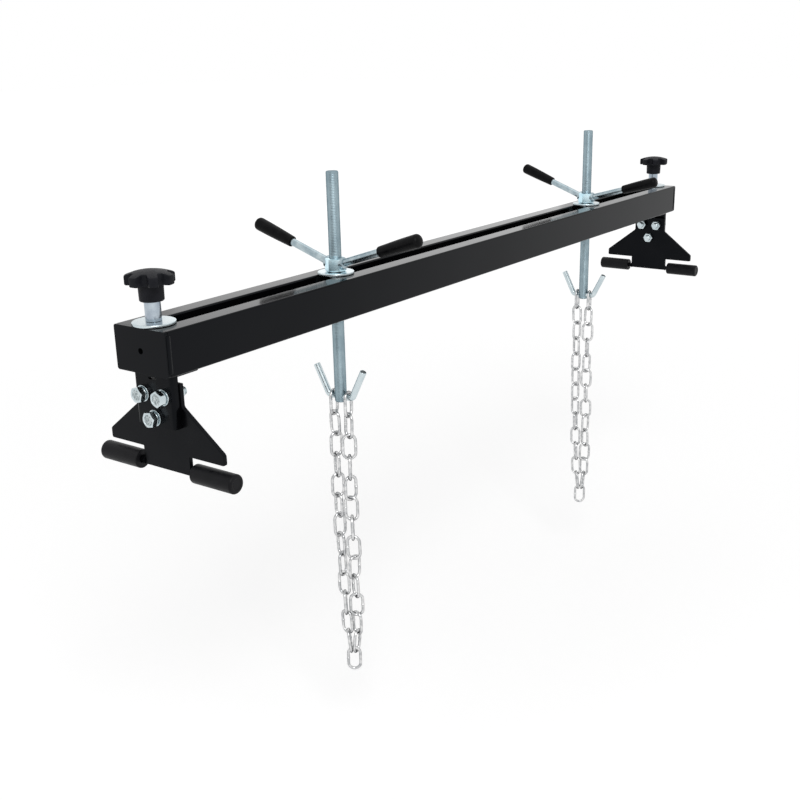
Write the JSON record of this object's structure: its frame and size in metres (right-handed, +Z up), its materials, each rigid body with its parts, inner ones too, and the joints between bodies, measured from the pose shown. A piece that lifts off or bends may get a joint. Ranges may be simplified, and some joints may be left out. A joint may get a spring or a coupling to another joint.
{
  "type": "engine support bar",
  "caption": "Slotted beam on two clamped feet with rubber sleeves, with two screwed spindles that lift an engine on hook bars and chains.",
  "frame": {"origin": "mid-span of the beam, on the level where the rubber sleeves rest", "axes": "+X along the beam, +Z up, -Y towards the front"},
  "size_m": [1.3794, 0.2704, 0.7065],
  "materials": {
    "black_paint": "gloss",
    "zinc": "bright zinc plate",
    "rod_steel": "zinc plate, rolled thread",
    "chain_steel": "bright zinc plate",
    "knob_plastic": "matte",
    "grip_plastic": "satin",
    "sleeve_rubber": "satin"
  },
  "bodies": {
    "beam": {"front_tube": "black_paint", "rear_tube": "black_paint", "left_end_plate": "black_paint", "right_end_plate": "black_paint"},
    "left_clamp": {"left_clamp_washer": "zinc", "left_clamp_spacer": "zinc"},
    "left_foot": {"left_clamp_stud": "zinc", "left_foot_bracket": "black_paint", "left_foot_plate": "black_paint", "left_foot_bolt_1": "zinc", "left_foot_washer_1": "zinc", "left_foot_nut_1": "zinc", "left_foot_bolt_2": "zinc", "left_foot_washer_2": "zinc", "left_foot_nut_2": "zinc", "left_foot_bolt_3": "zinc", "left_foot_washer_3": "zinc", "left_foot_nut_3": "zinc", "left_foot_crossbar": "black_paint", "left_front_sleeve": "sleeve_rubber", "left_rear_sleeve": "sleeve_rubber"},
    "left_knob": {"left_clamp_knob": "knob_plastic"},
    "left_carriage": {"left_thrust_washer": "zinc"},
    "left_lifting_nut": {"left_handle_nut": "zinc", "left_front_grip": "grip_plastic", "left_rear_grip": "grip_plastic"},
    "left_spindle": {"left_spindle_rod": "rod_steel", "left_hook_bar": "zinc"},
    "left_chain_upper": {"left_upper_chain_front": "chain_steel", "left_upper_chain_rear": "chain_steel"},
    "left_chain_lower": {"left_lower_chain": "chain_steel"},
    "right_clamp": {"right_clamp_washer": "zinc", "right_clamp_spacer": "zinc"},
    "right_foot": {"right_clamp_stud": "zinc", "right_foot_bracket": "black_paint", "right_foot_plate": "black_paint", "right_foot_bolt_1": "zinc", "right_foot_washer_1": "zinc", "right_foot_nut_1": "zinc", "right_foot_bolt_2": "zinc", "right_foot_washer_2": "zinc", "right_foot_nut_2": "zinc", "right_foot_bolt_3": "zinc", "right_foot_washer_3": "zinc", "right_foot_nut_3": "zinc", "right_foot_crossbar": "black_paint", "right_front_sleeve": "sleeve_rubber", "right_rear_sleeve": "sleeve_rubber"},
    "right_knob": {"right_clamp_knob": "knob_plastic"},
    "right_carriage": {"right_thrust_washer": "zinc"},
    "right_lifting_nut": {"right_handle_nut": "zinc", "right_front_grip": "grip_plastic", "right_rear_grip": "grip_plastic"},
    "right_spindle": {"right_spindle_rod": "rod_steel", "right_hook_bar": "zinc"},
    "right_chain_upper": {"right_upper_chain_front": "chain_steel", "right_upper_chain_rear": "chain_steel"},
    "right_chain_lower": {"right_lower_chain": "chain_steel"}
  },
  "joints": [
    {"name": "left_foot_slide", "type": "slide", "parent": "beam", "child": "left_clamp", "axis": [1, 0, 0], "range_m": [0, 0.22]},
    {"name": "left_foot_swivel", "type": "hinge", "parent": "left_clamp", "child": "left_foot", "pos_m": [-0.663, 0, 0.1227], "axis": [0, 0, 1], "range_deg": [-90, 90]},
    {"name": "left_knob_turn", "type": "hinge", "parent": "left_foot", "child": "left_knob", "pos_m": [-0.663, 0, 0.215], "axis": [0, 0, 1], "continuous": true},
    {"name": "left_spindle_slide", "type": "slide", "parent": "beam", "child": "left_carriage", "axis": [1, 0, 0], "range_m": [-0.13, 0.2]},
    {"name": "left_nut_turn", "type": "hinge", "parent": "left_carriage", "child": "left_lifting_nut", "pos_m": [-0.355, 0, 0.185], "axis": [0, 0, 1], "range_deg": [-18000, 11700]},
    {"name": "left_rod_lift", "type": "slide", "parent": "left_carriage", "child": "left_spindle", "axis": [0, 0, 1], "range_m": [-0.1, 0.065]},
    {"name": "left_chain_swing", "type": "hinge", "parent": "left_spindle", "child": "left_chain_upper", "pos_m": [-0.355, 0, 0.009], "axis": [0, 1, 0], "range_deg": [-45, 45]},
    {"name": "left_chain_flex", "type": "hinge", "parent": "left_chain_upper", "child": "left_chain_lower", "pos_m": [-0.355, 0, -0.1668], "axis": [0, 1, 0], "range_deg": [-45, 45]},
    {"name": "right_foot_slide", "type": "slide", "parent": "beam", "child": "right_clamp", "axis": [1, 0, 0], "range_m": [-0.22, 0]},
    {"name": "right_foot_swivel", "type": "hinge", "parent": "right_clamp", "child": "right_foot", "pos_m": [0.663, 0, 0.1227], "axis": [0, 0, 1], "range_deg": [-90, 90]},
    {"name": "right_knob_turn", "type": "hinge", "parent": "right_foot", "child": "right_knob", "pos_m": [0.663, 0, 0.215], "axis": [0, 0, 1], "continuous": true},
    {"name": "right_spindle_slide", "type": "slide", "parent": "beam", "child": "right_carriage", "axis": [1, 0, 0], "range_m": [-0.2, 0.12]},
    {"name": "right_nut_turn", "type": "hinge", "parent": "right_carriage", "child": "right_lifting_nut", "pos_m": [0.363, 0, 0.185], "axis": [0, 0, 1], "range_deg": [-18000, 11700]},
    {"name": "right_rod_lift", "type": "slide", "parent": "right_carriage", "child": "right_spindle", "axis": [0, 0, 1], "range_m": [-0.1, 0.065]},
    {"name": "right_chain_swing", "type": "hinge", "parent": "right_spindle", "child": "right_chain_upper", "pos_m": [0.363, 0, 0.009], "axis": [0, 1, 0], "range_deg": [-45, 45]},
    {"name": "right_chain_flex", "type": "hinge", "parent": "right_chain_upper", "child": "right_chain_lower", "pos_m": [0.363, 0, -0.1668], "axis": [0, 1, 0], "range_deg": [-45, 45]}
  ],
  "couplings": [
    {"joint": "left_rod_lift", "follows": "left_nut_turn", "m_per_rad": 0.00031831},
    {"joint": "right_rod_lift", "follows": "right_nut_turn", "m_per_rad": 0.00031831}
  ]
}
